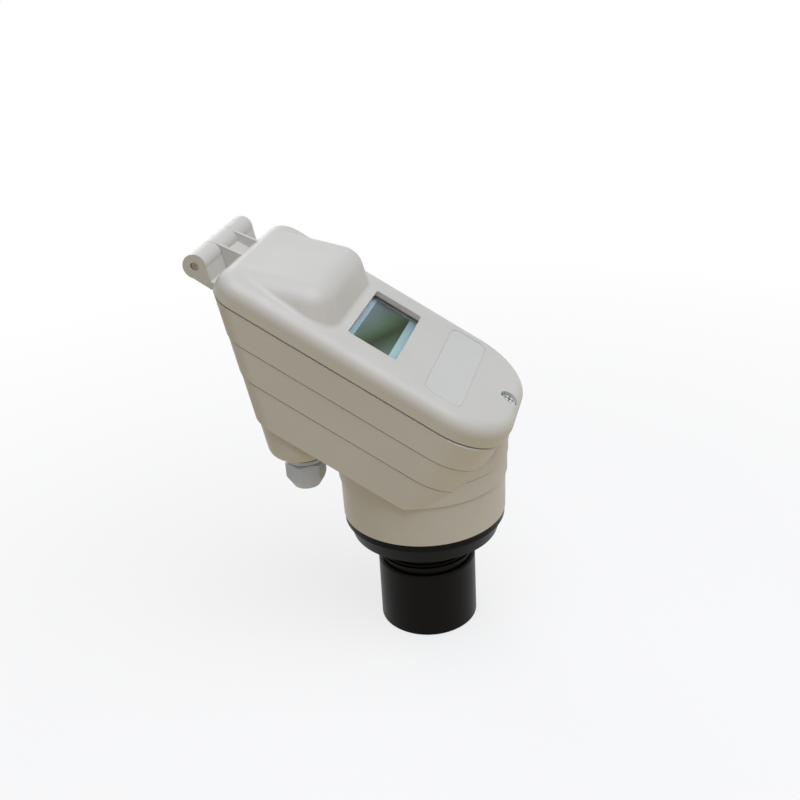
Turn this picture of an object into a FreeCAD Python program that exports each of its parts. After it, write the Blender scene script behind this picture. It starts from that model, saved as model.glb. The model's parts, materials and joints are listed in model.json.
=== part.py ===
# Ultrasonic level meter: a slanted housing with a hinged lid on a round neck,
# a black collar and a threaded transducer below it, and a cable gland at the back.
# Millimetres. +Z runs up the transducer's axis from the centre of its face, -Y is the front.
# The lid's own frame starts where the lid's top plane crosses the axis:
# x is across, u runs up the slope to the hinge, n stands square on the lid.

import FreeCAD, Part
import Sketcher
import math
import operator
import os
from types import SimpleNamespace
from FreeCAD import Placement, Rotation, Vector

SIZES = {
    # Slanted frame of the lid
    "lid_slope": 31.0,
    "lid_height": 184.0,
    # Lid
    "lid_half_width": 54.0,
    "lid_front": 71.0,
    "lid_rear": 111.0,
    "lid_front_round": 37.0,
    "lid_rear_round": 15.0,
    "lid_depth": 13.6,
    "lid_edge_round": 8.0,
    "lid_wall": 3.2,
    "lid_rim": 5.6,
    "seam": 1.0,
    # Hump over the wiring bay
    "hump_half_width": 39.5,
    "hump_rear_inset": 6.0,
    "hump_length": 51.0,
    "hump_rise": 18.4,
    "hump_corner": 10.0,
    "hump_draft": 25.0,
    "hump_deep": 21.0,
    "hump_edge_round": 14.0,
    "hump_foot_round": 4.0,
    "hump_core_inset": 1.2,
    "hump_core_rear": 7.0,
    # Window, label place and screw seat in the lid
    "window_front": 5.1,
    "window_rear": 35.7,
    "window_half_width": 32.3,
    "window_round": 1.5,
    "pane_lap": 3.2,
    "pane_thick": 2.0,
    "pane_round": 2.0,
    "label_front": 38.4,
    "label_rear": 14.6,
    "label_half_width": 42.5,
    "label_round": 5.5,
    "label_depth": 0.4,
    "screw_back": 61.9,
    "screw_seat_depth": 5.0,
    "screw_seat_radius": 5.6,
    "screw_post_radius": 7.2,
    # Lid screw and the insert it turns into
    "screw_head_radius": 4.8,
    "screw_head_height": 3.9,
    "screw_head_round": 1.6,
    "screw_thread_radius": 2.0,
    "screw_root_radius": 1.65,
    "screw_length": 14.6,
    "screw_play": 0.4,
    "screw_head_gap": 0.3,
    "screw_slot_length": 5.4,
    "screw_slot_width": 1.1,
    "screw_slot_depth": 1.6,
    "insert_radius": 3.2,
    "insert_length": 8.0,
    "insert_play": 0.2,
    "insert_sunk": 0.3,
    "insert_floor": 4.0,
    "insert_post_radius": 5.5,
    "insert_post_length": 18.0,
    # Lid seal
    "gasket_inset": 1.7,
    "gasket_width": 2.2,
    "gasket_height": 2.0,
    "gasket_gap": 0.1,
    "gasket_play": 0.1,
    # Hinge
    "hinge_reach": 14.7,
    "hinge_depth": 11.9,
    "hinge_radius": 6.9,
    "hinge_half_length": 36.8,
    "knuckle_half_length": 13.4,
    "knuckle_gap": 0.3,
    "pin_radius": 2.5,
    "pin_play_fixed": 0.05,
    "pin_play_turning": 0.08,
    "pin_inset": 1.2,
    "arm_root": 5.0,
    "arm_step": 3.0,
    "web_root": 2.0,
    "web_thick": 5.0,
    "web_lip": 2.9,
    "web_end": 3.0,
    "rib_thick": 2.2,
    "rib_root": 3.0,
    "rib_sunk": 2.5,
    # Slanted part of the housing
    "side_overhang": 0.4,
    "front_overhang": 2.1,
    "housing_front_round": 32.0,
    "rear_round": 10.0,
    "rear_lean": 11.5,
    "rear_inset": 2.7,
    "rim_chamfer": 0.5,
    "tier_step": 0.35,
    "tier_1_foot": 30.6,
    "tier_2_foot": 47.4,
    "tier_3_foot": 68.4,
    "line_width": 0.6,
    "line_depth": 0.5,
    "rim_wall": 4.2,
    "housing_wall": 4.4,
    "panel_shelf": 17.2,
    "shelf_width": 2.6,
    "floor": 4.5,
    # Round neck
    "neck_foot": 77.9,
    "neck_1_foot": 103.9,
    "neck_2_foot": 116.3,
    "neck_3_foot": 125.3,
    "neck_radius": 49.2,
    "neck_waist_radius": 49.6,
    "neck_upper_radius": 50.7,
    "neck_ring_step": 0.35,
    "neck_shift": 0.3,
    "neck_bore": 45.2,
    "neck_bore_stop": 22.0,
    # Cable entries
    "entry_across": 30.7,
    "entry_back": 63.0,
    "entry_drop": 59.5,
    "boss_radius": 19.4,
    "boss_round": 8.0,
    "boss_height": 30.0,
    "boss_floor": 8.0,
    "boss_bore": 13.0,
    "boss_bore_height": 22.0,
    "entry_radius": 10.0,
    # Cable gland and blanking plug
    "thread_play": 0.1,
    "washer_radius": 12.0,
    "washer_thick": 0.8,
    "hex_corner_radius": 12.3,
    "hex_corner_trim": 0.3,
    "hex_chamfer": 0.9,
    "hex_chamfer_run": 1.6,
    "gland_collar": 3.0,
    "gland_shank": 10.0,
    "gland_tube_radius": 9.2,
    "gland_tube_length": 9.5,
    "gland_bore": 6.5,
    "seal_radius": 7.5,
    "seal_bore": 4.2,
    "seal_length": 11.5,
    "nut_gap": 0.4,
    "nut_hex_length": 9.2,
    "nut_taper_length": 6.7,
    "nut_mouth_radius": 8.0,
    "nut_bore": 6.0,
    "nut_play": 0.3,
    "seal_gap": 0.3,
    "plug_head": 6.0,
    # Collar
    "collar_radius": 48.7,
    "collar_rim": 4.4,
    "collar_step": 1.0,
    "collar_foot": 64.0,
    "collar_foot_radius": 44.6,
    "spigot_height": 9.0,
    "spigot_wall": 4.8,
    "spigot_play": 0.2,
    "ring_height": 3.0,
    "ring_groove": 1.8,
    "ring_groove_width": 2.4,
    "ring_play": 0.05,
    # Transducer
    "head_radius": 30.0,
    "head_height": 44.0,
    "head_round": 1.8,
    "face_chamfer": 1.0,
    "relief_radius": 27.6,
    "relief_height": 2.6,
    "thread_root_radius": 28.4,
    "thread_top": 86.0,
    "shell_wall": 3.8,
    "face_thick": 3.0,
    "match_thick": 4.0,
    "piezo_radius": 23.5,
    "piezo_thick": 6.0,
    "fill_top": 80.0,
    "fill_play": 0.05,
    # Display panel under the lid
    "panel_play": 0.4,
    "panel_thick": 2.3,
    "panel_front": 52.0,
    "panel_rear": 41.5,
    "panel_front_round": 20.0,
    "panel_rear_round": 2.0,
    "panel_screw_inset": 10.6,
    "panel_screw_front": 26.0,
    "panel_screw_rear": 33.0,
    "panel_post_radius": 4.5,
    "panel_post_length": 22.0,
    "small_head_radius": 2.7,
    "small_head_height": 1.8,
    "small_radius": 1.4,
    "small_length": 9.0,
    "small_play": 0.1,
    "small_drill_play": 0.3,
    # Circuit board
    "board_top": 21.0,
    "board_thick": 1.6,
    "board_half_width": 36.5,
    "board_front": 48.0,
    "board_rear": 56.0,
    "board_front_round": 4.0,
    "board_rear_round": 2.0,
    "spacer_radius": 3.0,
    "spacer_across": 32.0,
    "spacer_front": 44.0,
    "spacer_rear": 4.0,
    # Display
    "display_half_width": 38.0,
    "display_front": 2.0,
    "display_rear": 38.6,
    "display_top": 8.6,
    "display_round": 1.0,
    "display_play": 0.3,
    "glass_half_width": 36.8,
    "glass_front": 9.9,
    "glass_rear": 32.8,
    "glass_sunk": 0.6,
    "glass_thick": 2.8,
    "glass_play": 0.1,
    "glass_round": 0.6,
    # Keys
    "key_back": 24.0,
    "key_spacing": 20.0,
    "key_radius": 4.5,
    "key_stand": 2.6,
    "key_play": 0.4,
    "key_collar_radius": 5.8,
    "key_collar_thick": 0.8,
    "key_collar_gap": 0.3,
    "key_travel": 1.0,
    "switch_width": 6.0,
    "switch_gap": 0.4,
    # Terminal block
    "terminal_pitch": 5.08,
    "terminal_front": 43.6,
    "terminal_depth": 11.0,
    "terminal_height": 12.0,
    "terminal_hole_radius": 1.9,
    "terminal_screw_radius": 1.7,
    "terminal_screw_depth": 6.0,
    "terminal_screw_sunk": 1.0,
    "terminal_slot_width": 0.6,
    "terminal_slot_depth": 0.8,
    "terminal_mouth": 3.4,
    "terminal_mouth_depth": 5.0,
    "terminal_mouth_floor": 1.0,
}

# Reach of pieces that only cut or trim, and how far a cut runs past its face
BEYOND = 200
OVER = 1

TERMINAL_POLES = 8
KEY_NAMES = ("key_left", "key_middle", "key_right")


class Size:
    """A number together with the sheet expression that gives it."""

    def __init__(self, value, text):
        self.value = value
        self.text = text

    def __add__(self, other):
        return join(self, "+", operator.add, other)

    def __radd__(self, other):
        return join(other, "+", operator.add, self)

    def __sub__(self, other):
        return join(self, "-", operator.sub, other)

    def __rsub__(self, other):
        return join(other, "-", operator.sub, self)

    def __mul__(self, other):
        return join(self, "*", operator.mul, other)

    def __rmul__(self, other):
        return join(other, "*", operator.mul, self)

    def __truediv__(self, other):
        return join(self, "/", operator.truediv, other)

    def __neg__(self):
        return join(0, "-", operator.sub, self)


def as_size(number):
    if isinstance(number, Size):
        return number
    return Size(float(number), str(float(number)))


def join(left, sign, work, right):
    left = as_size(left)
    right = as_size(right)
    return Size(work(left.value, right.value), f"({left.text} {sign} {right.text})")


def sine(angle):
    return Size(math.sin(math.radians(angle.value)), f"sin({angle.text} * 1 deg)")


def cosine(angle):
    return Size(math.cos(math.radians(angle.value)), f"cos({angle.text} * 1 deg)")


def tangent(angle):
    return Size(math.tan(math.radians(angle.value)), f"tan({angle.text} * 1 deg)")


def write_sheet(doc):
    """Put every driving size in the sheet and return them as Size values."""
    sheet = doc.addObject("Spreadsheet::Sheet", "Sizes")
    sizes = SimpleNamespace()
    for row, (name, value) in enumerate(SIZES.items(), start=1):
        sheet.set(f"A{row}", name)
        sheet.set(f"B{row}", str(value))
        sheet.setAlias(f"B{row}", name)
        setattr(sizes, name, Size(value, f"Sizes.{name}"))
    doc.recompute()
    return sizes


doc = FreeCAD.newDocument("level_meter")
s = write_sheet(doc)
nodes = []

# Sizes that follow from others

rim_top = s.lid_depth + s.seam
housing_half_width = s.lid_half_width - s.side_overhang
housing_front = s.lid_front - s.front_overhang
hump_rear = s.lid_rear - s.hump_rear_inset
hinge_back = s.lid_rear + s.hinge_reach
entry_foot = s.lid_height - s.entry_drop
panel_screw_across = housing_half_width - s.panel_screw_inset


def bind(obj, prop, size):
    obj.setExpression(prop, as_size(size).text)


def node(obj, name):
    """Name an object as a piece that gets its own file."""
    obj.Label = name
    nodes.append(obj)
    return obj


# Placing

def upright(obj, x=0, y=0, z=0):
    bind(obj, "Placement.Base.x", x)
    bind(obj, "Placement.Base.y", y)
    bind(obj, "Placement.Base.z", z)
    return obj


def lid_point(u, n):
    """How far back and how high a point of the lid's frame lies."""
    back = u * cosine(s.lid_slope) - n * sine(s.lid_slope)
    high = s.lid_height + u * sine(s.lid_slope) + n * cosine(s.lid_slope)
    return back, high


def on_lid(obj, x=0, u=0, n=0):
    """Place an object at a point of the lid's frame, turned with the slope."""
    obj.Placement = Placement(Vector(), Rotation(Vector(1, 0, 0), s.lid_slope.value))
    obj.setExpression("Placement.Rotation.Angle", f"{s.lid_slope.text} * 1 deg")
    return upright(obj, x, *lid_point(u, n))


# Sketches

def place_point(sketch, geometry, point, x, y):
    for kind, size in (("DistanceX", as_size(x)), ("DistanceY", as_size(y))):
        index = sketch.addConstraint(
            Sketcher.Constraint(kind, -1, 1, geometry, point, size.value))
        bind(sketch, f"Constraints[{index}]", size)


def set_radius(sketch, geometry, radius):
    index = sketch.addConstraint(
        Sketcher.Constraint("Radius", geometry, as_size(radius).value))
    bind(sketch, f"Constraints[{index}]", radius)


def set_line(sketch, kind, geometry, place):
    size = as_size(place)
    index = sketch.addConstraint(Sketcher.Constraint(kind, -1, 1, geometry, 1, size.value))
    bind(sketch, f"Constraints[{index}]", size)


def draw_polygon(sketch, points):
    ends = [Vector(as_size(x).value, as_size(y).value) for x, y in points]
    count = len(ends)
    lines = [sketch.addGeometry(Part.LineSegment(ends[i], ends[(i + 1) % count]), False)
             for i in range(count)]
    for i in range(count):
        sketch.addConstraint(
            Sketcher.Constraint("Coincident", lines[i], 2, lines[(i + 1) % count], 1))
        place_point(sketch, lines[i], 1, *points[i])


def draw_circle(sketch, x, y, radius):
    centre = Vector(as_size(x).value, as_size(y).value)
    circle = sketch.addGeometry(
        Part.Circle(centre, Vector(0, 0, 1), as_size(radius).value), False)
    place_point(sketch, circle, 3, x, y)
    set_radius(sketch, circle, radius)


def draw_rounded(sketch, half_width, low, high, low_round=None, high_round=None):
    """Rectangle about the y axis. Its low and high corners are rounded, or sharp if None."""
    rounds = (low_round, high_round, high_round, low_round)
    w, a, b = (as_size(v).value for v in (half_width, low, high))
    r, q = (0 if v is None else as_size(v).value for v in (low_round, high_round))
    sides = ((Vector(r - w, a), Vector(w - r, a)), (Vector(w, a + r), Vector(w, b - q)),
             (Vector(w - q, b), Vector(q - w, b)), (Vector(-w, b - q), Vector(-w, a + r)))
    centres = (Vector(w - r, a + r), Vector(w - q, b - q), Vector(q - w, b - q),
               Vector(r - w, a + r))
    lines = [sketch.addGeometry(Part.LineSegment(start, end), False) for start, end in sides]
    for i in range(4):
        following = lines[(i + 1) % 4]
        sketch.addConstraint(
            Sketcher.Constraint("Vertical" if i % 2 else "Horizontal", lines[i]))
        if rounds[i] is None:
            sketch.addConstraint(Sketcher.Constraint("Coincident", lines[i], 2, following, 1))
            continue
        circle = Part.Circle(centres[i], Vector(0, 0, 1), as_size(rounds[i]).value)
        turn = math.radians(90 * i - 90)
        arc = sketch.addGeometry(Part.ArcOfCircle(circle, turn, turn + math.pi / 2), False)
        sketch.addConstraint(Sketcher.Constraint("Tangent", lines[i], 2, arc, 1))
        sketch.addConstraint(Sketcher.Constraint("Tangent", arc, 2, following, 1))
        set_radius(sketch, arc, rounds[i])
    set_line(sketch, "DistanceY", lines[0], low)
    set_line(sketch, "DistanceX", lines[1], half_width)
    set_line(sketch, "DistanceY", lines[2], high)
    set_line(sketch, "DistanceX", lines[3], -as_size(half_width))


# Bodies and their features

def new_body(name, slanted=True):
    body = doc.addObject("PartDesign::Body", name)
    if slanted:
        on_lid(body)
    return body


def new_sketch(body, name, plane="XY_Plane", offset=0):
    sketch = body.newObject("Sketcher::SketchObject", name)
    planes = {feature.Role: feature for feature in body.Origin.OriginFeatures}
    sketch.AttachmentSupport = [(planes[plane], "")]
    sketch.MapMode = "FlatFace"
    bind(sketch, "AttachmentOffset.Base.z", offset)
    return sketch


def extrude(body, kind, sketch, length, back=False, both_ways=False, draft=None, lean=None):
    feature = body.newObject(f"PartDesign::{kind}", sketch.Name + "_" + kind.lower())
    feature.Profile = sketch
    feature.Reversed = back
    if both_ways:
        feature.SideType = "Symmetric"
    bind(feature, "Length", length)
    if draft is not None:
        bind(feature, "TaperAngle", draft)
    if lean is not None:
        feature.UseCustomVector = True
        bind(feature, "Direction.x", 0)
        bind(feature, "Direction.y", tangent(lean))
        bind(feature, "Direction.z", 1)
    doc.recompute()
    return feature


def round_edges(body, name, radius, chosen, kind="Fillet"):
    """Round the edges of the body's last feature for which chosen(edge) is true."""
    base = body.Tip
    edges = [f"Edge{i}" for i, edge in enumerate(base.Shape.Edges, start=1) if chosen(edge)]
    feature = body.newObject(f"PartDesign::{kind}", name)
    feature.Base = (base, edges)
    bind(feature, "Radius" if kind == "Fillet" else "Size", radius)
    doc.recompute()
    return feature


def lies_at(edge, axis, place, tolerance=0.01):
    box = edge.BoundBox
    low = getattr(box, axis + "Min")
    high = getattr(box, axis + "Max")
    return abs(low - place) < tolerance and abs(high - place) < tolerance


def rounded_plate(name, outline, top, thick):
    """Plate in the lid's frame, its outline given as for draw_rounded."""
    body = new_body(name)
    sketch = new_sketch(body, name + "_outline", offset=top)
    draw_rounded(sketch, *outline)
    extrude(body, "Pad", sketch, thick, back=True)
    return body


def turned(name, profile):
    """Piece turned about the Z axis from a closed profile of (radius, height) points."""
    body = new_body(name, slanted=False)
    sketch = new_sketch(body, name + "_profile", plane="XZ_Plane")
    draw_polygon(sketch, profile)
    feature = body.newObject("PartDesign::Revolution", name + "_turning")
    feature.Profile = sketch
    feature.ReferenceAxis = (sketch, ["V_Axis"])
    feature.Angle = 360
    doc.recompute()
    return body


# Simple solids and booleans

def rod(name, radius, length):
    cylinder = doc.addObject("Part::Cylinder", name)
    bind(cylinder, "Radius", radius)
    bind(cylinder, "Height", length)
    return cylinder


def block(name, length, width, height):
    box = doc.addObject("Part::Box", name)
    bind(box, "Length", length)
    bind(box, "Width", width)
    bind(box, "Height", height)
    return box


def hexagon(name, corner_radius, height):
    prism = doc.addObject("Part::Prism", name)
    prism.Polygon = 6
    bind(prism, "Circumradius", corner_radius)
    bind(prism, "Height", height)
    return prism


def cross_rod(name, radius, half_length):
    """Rod along X on the hinge line."""
    rod_x = rod(name, radius, half_length * 2)
    rod_x.Placement = Placement(Vector(), Rotation(Vector(0, 1, 0), 90))
    return upright(rod_x, -as_size(half_length), *lid_point(hinge_back, -s.hinge_depth))


def fuse(name, parts):
    joined = doc.addObject("Part::MultiFuse", name)
    joined.Shapes = parts
    joined.Refine = True
    return joined


def add_each(name, base, parts):
    """Join parts to a base one after another."""
    for i, part in enumerate(parts):
        joined = doc.addObject("Part::Fuse", f"{name}_{i}")
        joined.Base = base
        joined.Tool = part
        joined.Refine = True
        base = joined
    return base


def common(name, parts):
    shared = doc.addObject("Part::MultiCommon", name)
    shared.Shapes = parts
    return shared


def cut(name, base, tools):
    removed = doc.addObject("Part::Cut", name)
    removed.Base = base
    removed.Tool = tools[0] if len(tools) == 1 else fuse(name + "_cuts", tools)
    removed.Refine = True
    return removed


def group(name, parts):
    together = doc.addObject("Part::Compound", name)
    together.Links = parts
    return together


# Housing: three stepped tiers square to the lid, cut off by the leaning rear wall

rim_back, rim_high = lid_point(s.lid_rear - s.rear_inset, -rim_top)
rear_foot = rim_back - rim_high * tangent(s.rear_lean)


def leaning_block(name, half_width, rear_foot, rear_round):
    """Tall block whose rear wall leans back as it rises."""
    body = new_body(name, slanted=False)
    sketch = new_sketch(body, name + "_plan")
    draw_rounded(sketch, half_width, -BEYOND, rear_foot, high_round=rear_round)
    extrude(body, "Pad", sketch, BEYOND * 2, lean=s.rear_lean)
    return body


def tier(name, inset, top, foot, chamfer=None):
    """One step of the slanted housing."""
    half_width = housing_half_width - inset
    outline = (half_width, inset - housing_front, BEYOND, s.housing_front_round - inset)
    slab = rounded_plate(name + "_slab", outline, -top, foot - top)
    if chamfer is not None:
        round_edges(slab, name + "_edge", chamfer,
                    lambda edge: lies_at(edge, "Z", -top.value), kind="Chamfer")
    rear = leaning_block(name + "_rear", half_width, rear_foot - inset, s.rear_round)
    return common(name, [slab, rear])


tiers = [tier("tier_1", as_size(0), rim_top, s.tier_1_foot, s.rim_chamfer)]
for i, top, foot in ((1, s.tier_1_foot, s.tier_2_foot), (2, s.tier_2_foot, s.tier_3_foot)):
    inset = s.tier_step * i
    tiers.append(tier(f"tier_{i + 1}", inset, top + s.line_width, foot))
    tiers.append(tier(f"line_{i}", inset + s.line_depth, top - OVER, top + s.line_width + OVER))
below_rings = upright(block("below_rings", BEYOND * 2, BEYOND * 2, BEYOND), -BEYOND, -BEYOND,
                      s.neck_1_foot - BEYOND)
wedge = cut("wedge", fuse("stepped_tiers", tiers), [below_rings])

# Neck: a cone and three rings with lines between, the upper rings stepping forward, cut off at the rim

cone_top = s.neck_1_foot - s.line_width
neck_cone = doc.addObject("Part::Cone", "neck_cone")
bind(neck_cone, "Radius1", s.neck_radius)
bind(neck_cone, "Radius2", s.neck_waist_radius)
bind(neck_cone, "Height", cone_top - s.neck_foot)
neck_line = rod("neck_line", s.neck_waist_radius - s.line_depth, s.line_width + OVER * 2)
neck_core = rod("neck_core", s.neck_upper_radius - s.line_depth, s.lid_height - s.neck_2_foot)
rings = [upright(neck_cone, 0, 0, s.neck_foot), upright(neck_line, 0, 0, cone_top - OVER),
         upright(neck_core, 0, 0, s.neck_2_foot - s.line_width - OVER)]
ring_feet = (s.neck_1_foot, s.neck_2_foot, s.neck_3_foot)
ring_tops = (s.neck_2_foot - s.line_width, s.neck_3_foot - s.line_width, s.lid_height)
for i, (foot, top) in enumerate(zip(ring_feet, ring_tops)):
    ring = rod(f"neck_ring_{i}", s.neck_upper_radius + s.neck_ring_step * i, top - foot)
    rings.append(upright(ring, 0, s.neck_shift * -i, foot))
above_rim = on_lid(block("above_rim", BEYOND * 2, BEYOND * 2, BEYOND), -BEYOND, -BEYOND, -rim_top)
neck = cut("neck", fuse("neck_rings", rings), [above_rim])

# Bosses for the two cable entries, rounded at the foot


def entry_boss(name, side):
    body = new_body(name, slanted=False)
    sketch = new_sketch(body, name + "_plan", offset=entry_foot)
    draw_circle(sketch, s.entry_across * side, s.entry_back, s.boss_radius)
    extrude(body, "Pad", sketch, s.boss_height, lean=s.rear_lean)
    round_edges(body, name + "_round", s.boss_round,
                lambda edge: lies_at(edge, "Z", entry_foot.value))
    return body


bosses = [entry_boss("boss_left", -1), entry_boss("boss_right", 1)]

# Hinge arms: the outer knuckles, each on a short arm from the rim


def hinge_arm(name, start):
    body = new_body(name)
    arm = new_sketch(body, name + "_side", plane="YZ_Plane", offset=start)
    back = hinge_back
    deep = -s.hinge_depth
    r = s.hinge_radius
    root = s.lid_rear - s.arm_root
    draw_polygon(arm, ((root, -rim_top), (s.lid_rear + s.arm_step, -rim_top),
                       (back - r * 0.6, deep + r * 0.75), (back + r * 0.2, deep - r * 0.95),
                       (root, deep - r)))
    length = s.hinge_half_length - s.knuckle_half_length - s.knuckle_gap
    extrude(body, "Pad", arm, length)
    barrel = new_sketch(body, name + "_barrel", plane="YZ_Plane", offset=start)
    draw_circle(barrel, back, deep, r)
    extrude(body, "Pad", barrel, length)
    return body


arms = [hinge_arm("arm_left", -s.hinge_half_length),
        hinge_arm("arm_right", s.knuckle_half_length + s.knuckle_gap)]

# Hollow of the housing: a shallow pocket for the panel, a deep one, and the bore of the neck

deep_half_width = housing_half_width - s.rim_wall - s.shelf_width
shallow = (housing_half_width - s.rim_wall, s.rim_wall - housing_front, BEYOND,
           s.housing_front_round - s.rim_wall)
deep = (deep_half_width, s.rim_wall + s.shelf_width - housing_front, BEYOND,
        s.housing_front_round - s.rim_wall - s.shelf_width)
shallow_slab = rounded_plate("shallow_slab", shallow, OVER - rim_top,
                             s.panel_shelf - rim_top + OVER)
deep_slab = rounded_plate("deep_slab", deep, -s.panel_shelf,
                          s.tier_3_foot - s.floor - s.panel_shelf)
inner_rear = leaning_block("inner_rear", housing_half_width,
                           rear_foot - s.tier_step * 2 - s.housing_wall,
                           s.rear_round - s.housing_wall)
pockets = common("pockets", [fuse("pocket_slabs", [shallow_slab, deep_slab]), inner_rear])
bore = upright(rod("bore", s.neck_bore, BEYOND), 0, 0, s.neck_foot - OVER)
below_shelf = on_lid(block("below_shelf", BEYOND * 2, BEYOND * 2, BEYOND), -BEYOND, -BEYOND,
                     -s.neck_bore_stop - BEYOND)
neck_bore = common("neck_hollow", [bore, below_shelf])
entry_bores = []
for side, name in ((-1, "left"), (1, "right")):
    thread = rod("entry_" + name, s.entry_radius, s.boss_floor + OVER * 2)
    entry_bores.append(upright(thread, s.entry_across * side, s.entry_back,
                               entry_foot - OVER))
    wide = rod("boss_hollow_" + name, s.boss_bore, s.boss_bore_height)
    entry_bores.append(upright(wide, s.entry_across * side, s.entry_back,
                               entry_foot + s.boss_floor))

shell = cut("shell", fuse("housing_form", [wedge, neck] + bosses + arms),
            [pockets, neck_bore] + entry_bores)

# Posts inside the housing for the lid screw and the panel screws

insert_post = on_lid(rod("insert_post", s.insert_post_radius, s.insert_post_length), 0,
                     -s.screw_back, -rim_top - s.insert_post_length)
panel_spots = [(panel_screw_across * side, u) for side in (-1, 1)
               for u in (-s.panel_screw_front, s.panel_screw_rear)]
panel_posts = [on_lid(rod(f"panel_post_{i}", s.panel_post_radius, s.panel_post_length), x, u,
                      -s.panel_shelf - s.panel_post_length)
               for i, (x, u) in enumerate(panel_spots)]
insert_low = s.insert_floor - rim_top - s.insert_post_length
insert_hole = on_lid(rod("insert_hole", s.insert_radius + s.small_play, OVER - rim_top - insert_low),
                     0, -s.screw_back, insert_low)
panel_holes = [on_lid(rod(f"panel_hole_{i}", s.small_radius + s.small_play, s.small_length + OVER),
                      x, u, -s.panel_shelf - s.small_length)
               for i, (x, u) in enumerate(panel_spots)]
fixed_bore = cross_rod("fixed_bore", s.pin_radius + s.pin_play_fixed, BEYOND)
shell_posts = add_each("shell_posts", shell, [insert_post] + panel_posts)
housing = cut("housing_shape", shell_posts, [insert_hole, fixed_bore] + panel_holes)
node(housing, "housing")

insert = cut("insert_shape", on_lid(rod("insert_rod", s.insert_radius, s.insert_length), 0,
                                    -s.screw_back, -rim_top - s.insert_length - s.insert_sunk),
             [on_lid(rod("insert_bore", s.screw_thread_radius + s.insert_play, BEYOND), 0,
                     -s.screw_back, -BEYOND)])
node(insert, "lid_screw_insert")

# Lid: rounded slab, hump over the wiring bay, hollow below


def inset_outline(inset):
    return (s.lid_half_width - inset, inset - s.lid_front, s.lid_rear - inset,
            s.lid_front_round - inset, s.lid_rear_round - inset)


slab = rounded_plate("lid_slab", inset_outline(as_size(0)), 0, s.lid_depth)
round_edges(slab, "lid_edge", s.lid_edge_round, lambda edge: lies_at(edge, "Z", 0))


def hump_block(name, sunk, inset, rear_inset, foot):
    """Flaring block hung from the hump's tilted top plane, rounded above and cut off level."""
    body = new_body(name)
    plan = new_sketch(body, name + "_plan", offset=-sunk)
    plan.AttachmentOffset = Placement(Vector(), Rotation(Vector(1, 0, 0), -s.hump_rise.value))
    plan.setExpression("AttachmentOffset.Rotation.Angle", f"-{s.hump_rise.text} * 1 deg")
    bind(plan, "AttachmentOffset.Base.y", hump_rear)
    draw_rounded(plan, s.hump_half_width - inset, inset - s.hump_length, -rear_inset,
                 s.hump_corner - inset)
    extrude(body, "Pad", plan, s.hump_deep, back=True, draft=s.hump_draft)
    slope = tangent(s.hump_rise).value
    rear = (hump_rear - rear_inset * cosine(s.hump_rise)).value

    def on_top(edge):
        ends = [vertex.Point for vertex in edge.Vertexes]
        level = all(abs(p.z + sunk.value + (p.y - hump_rear.value) * slope) < 0.01 for p in ends)
        return level and min(p.y for p in ends) < rear - 1

    round_edges(body, name + "_edge", s.hump_edge_round - inset, on_top)
    level = new_sketch(body, name + "_level", offset=-foot)
    draw_rounded(level, BEYOND, -BEYOND, BEYOND)
    extrude(body, "Pocket", level, BEYOND)
    return body


hump = hump_block("hump", as_size(0), as_size(0), as_size(0), s.lid_depth / 2)
hump_core = hump_block("hump_core", s.lid_wall, s.hump_core_inset, s.hump_core_rear,
                       s.lid_wall + OVER)
lid_hollow = rounded_plate("lid_hollow", inset_outline(s.lid_rim), -s.lid_wall, s.lid_depth)


def at_hump_foot(edge):
    """True for the straight edge where the low end of the hump meets the lid."""
    slope = math.radians(s.lid_slope.value)
    for vertex in edge.Vertexes:
        back = vertex.Point.y
        high = vertex.Point.z - s.lid_height.value
        above = high * math.cos(slope) - back * math.sin(slope)
        along = back * math.cos(slope) + high * math.sin(slope)
        if abs(above) > 0.01 or not 0 < along < (hump_rear - s.hump_length / 2).value:
            return False
    return edge.Length > s.hump_half_width.value


lid_form = new_body("lid_form", slanted=False)
lid_form.BaseFeature = fuse("lid_and_hump", [slab, hump])
doc.recompute()
round_edges(lid_form, "hump_foot", s.hump_foot_round, at_hump_foot)
lid_shell = cut("lid_shell", lid_form, [lid_hollow, hump_core])

screw_rod = on_lid(rod("screw_rod", s.screw_post_radius, s.lid_depth), 0, -s.screw_back,
                   -s.lid_depth)
screw_post = common("screw_post", [screw_rod, slab])
screw_seat = on_lid(rod("screw_seat", s.screw_seat_radius, BEYOND), 0, -s.screw_back,
                    -s.screw_seat_depth)
screw_hole = on_lid(rod("screw_hole", s.screw_thread_radius + s.screw_play, BEYOND), 0, -s.screw_back,
                    -BEYOND / 2)
window = rounded_plate("window", (s.window_half_width, s.window_front, s.window_rear,
                                  s.window_round, s.window_round),
                       BEYOND, BEYOND + s.lid_wall + OVER)
label_place = rounded_plate("label_place", (s.label_half_width, -s.label_front, -s.label_rear,
                                            s.label_round, s.label_round),
                            BEYOND, BEYOND + s.label_depth)


def seal_ring_body(name, play, low, high):
    """Ring that follows the rim of the lid."""
    body = new_body(name)
    ring = new_sketch(body, name + "_ring", offset=low)
    draw_rounded(ring, *inset_outline(s.gasket_inset + play))
    draw_rounded(ring, *inset_outline(s.gasket_inset + s.gasket_width - play))
    extrude(body, "Pad", ring, high - low)
    return body


groove = seal_ring_body("seal_groove", as_size(0), -s.lid_depth - OVER,
                        s.gasket_height - s.lid_depth)

# Middle knuckle of the hinge, with a web and two ribs to the lid

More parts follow.
